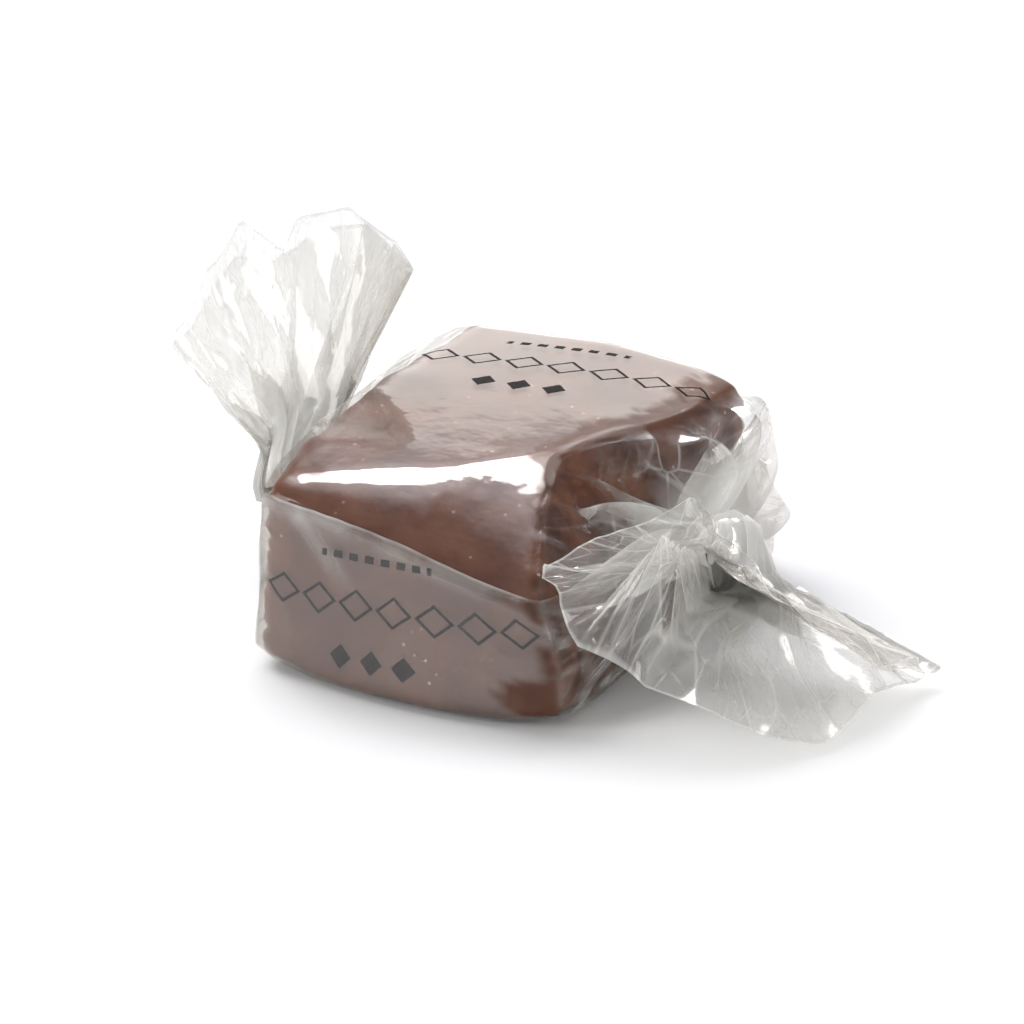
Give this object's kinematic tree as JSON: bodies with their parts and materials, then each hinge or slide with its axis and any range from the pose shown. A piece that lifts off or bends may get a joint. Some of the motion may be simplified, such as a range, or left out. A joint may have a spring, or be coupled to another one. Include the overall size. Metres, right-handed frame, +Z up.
{
  "type": "salted caramel candy",
  "caption": "Block of brown caramel wrapped in a clear film that is twisted shut and fanned out at both ends.",
  "frame": {"origin": "centre of the flat underside of the wrap, below the middle of the block", "axes": "+X along the twist towards the right fan, -Y out of the front face, +Z up"},
  "size_m": [0.0736, 0.041, 0.0291],
  "materials": {
    "caramel": "dense chocolate-brown caramel with a soft satin shine",
    "film": "clear thin glossy cellulose film, creased, with a plain black geometric print"
  },
  "bodies": {
    "root": {"caramel": "caramel", "wrapper": "film"}
  },
  "joints": []
}
